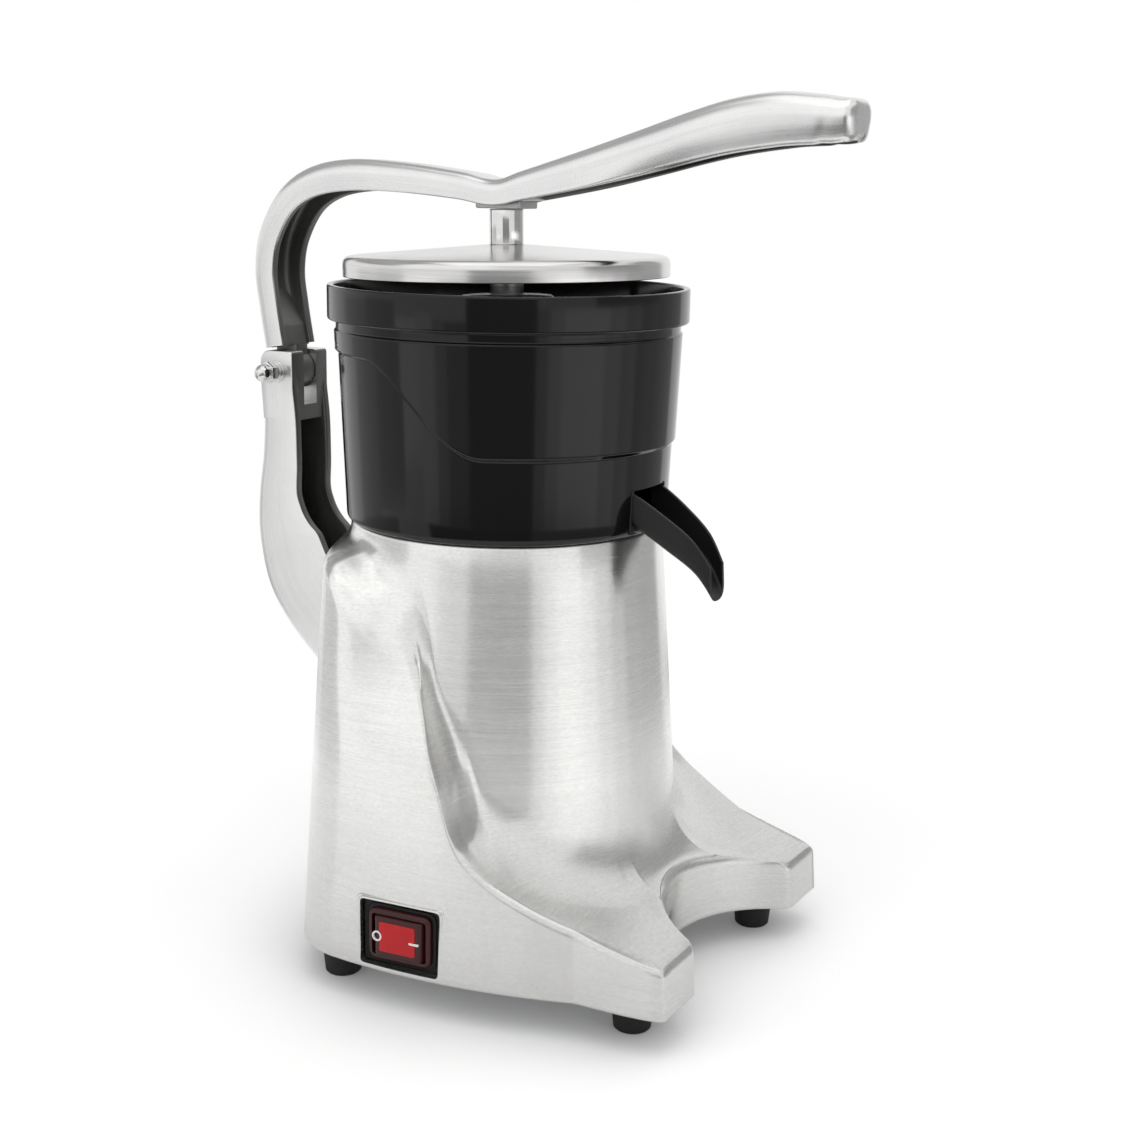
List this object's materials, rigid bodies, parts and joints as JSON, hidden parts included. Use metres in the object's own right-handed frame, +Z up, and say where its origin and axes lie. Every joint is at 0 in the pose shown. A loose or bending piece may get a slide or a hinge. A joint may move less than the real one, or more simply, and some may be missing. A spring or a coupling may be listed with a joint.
{
  "type": "electric citrus juicer",
  "caption": "Electric citrus juicer with a cast aluminium housing, black bowl with pouring spout, hand lever pressing a lid and cup onto a turning reamer, and a rocker switch.",
  "frame": {"origin": "centre of the bounding box in plan, on the table plane under the feet", "axes": "+Z up along the drive axis, -Y towards the spout and the toes, -X towards the switch"},
  "size_m": [0.2329, 0.3357, 0.4301],
  "materials": {
    "cast_aluminium": "brushed casting, satin",
    "die_cast": "as cast",
    "stainless": "fine circular brushing",
    "zinc_steel": "zinc plated",
    "gloss_black": "moulded, glossy",
    "matte_black": "moulded, satin",
    "rubber": "matt",
    "boot_red": "soft moulding",
    "rocker_red": "translucent moulding",
    "food_white": "moulded",
    "copper": "varnished wire",
    "lamination": "stacked sheet",
    "bronze": "turned",
    "capacitor_can": "moulded"
  },
  "bodies": {
    "stand": {"housing": "cast_aluminium", "base_plate": "zinc_steel", "base_plate_screws": "zinc_steel", "foot_front_left": "rubber", "foot_front_right": "rubber", "foot_rear_left": "rubber", "foot_rear_right": "rubber", "foot_screws": "zinc_steel", "lever_column": "cast_aluminium", "column_bolts": "zinc_steel", "pivot_bolt": "zinc_steel", "pivot_washers": "stainless", "acorn_nut": "stainless", "motor_top_bracket": "die_cast", "bracket_screws": "zinc_steel", "stator_core": "lamination", "windings": "copper", "motor_bottom_bracket": "die_cast", "tie_bolts": "zinc_steel", "upper_bearing": "zinc_steel", "lower_bearing": "zinc_steel", "shaft_seal": "rubber", "capacitor": "capacitor_can", "capacitor_strap": "zinc_steel", "juice_bowl": "gloss_black", "spout": "matte_black", "strainer": "stainless", "switch_panel": "matte_black", "switch_boot": "boot_red", "switch_body": "matte_black", "cable_gland": "matte_black"},
    "spindle": {"drive_shaft": "stainless", "rotor": "lamination", "cooling_fan": "matte_black", "reamer": "food_white"},
    "lever_arm": {"lever": "cast_aluminium", "pivot_bush": "bronze", "rod_plate": "zinc_steel", "rod_plate_screws": "zinc_steel", "press_rod": "stainless", "splash_lid": "stainless", "press_cup": "die_cast", "cup_nut": "zinc_steel"},
    "rocker": {"switch_rocker": "rocker_red"}
  },
  "joints": [
    {"name": "reamer_spin", "type": "hinge", "parent": "stand", "child": "spindle", "pos_m": [0, 0.01375, 0.25], "axis": [0, 0, 1], "continuous": true},
    {"name": "lever_lift", "type": "hinge", "parent": "stand", "child": "lever_arm", "pos_m": [0, 0.15095, 0.288], "axis": [-1, 0, 0], "range_deg": [0, 60]},
    {"name": "rocker_tilt", "type": "hinge", "parent": "stand", "child": "rocker", "pos_m": [-0.10603, 0.00233, 0.037], "axis": [0, 0, 1], "range_deg": [-7, 7]}
  ]
}
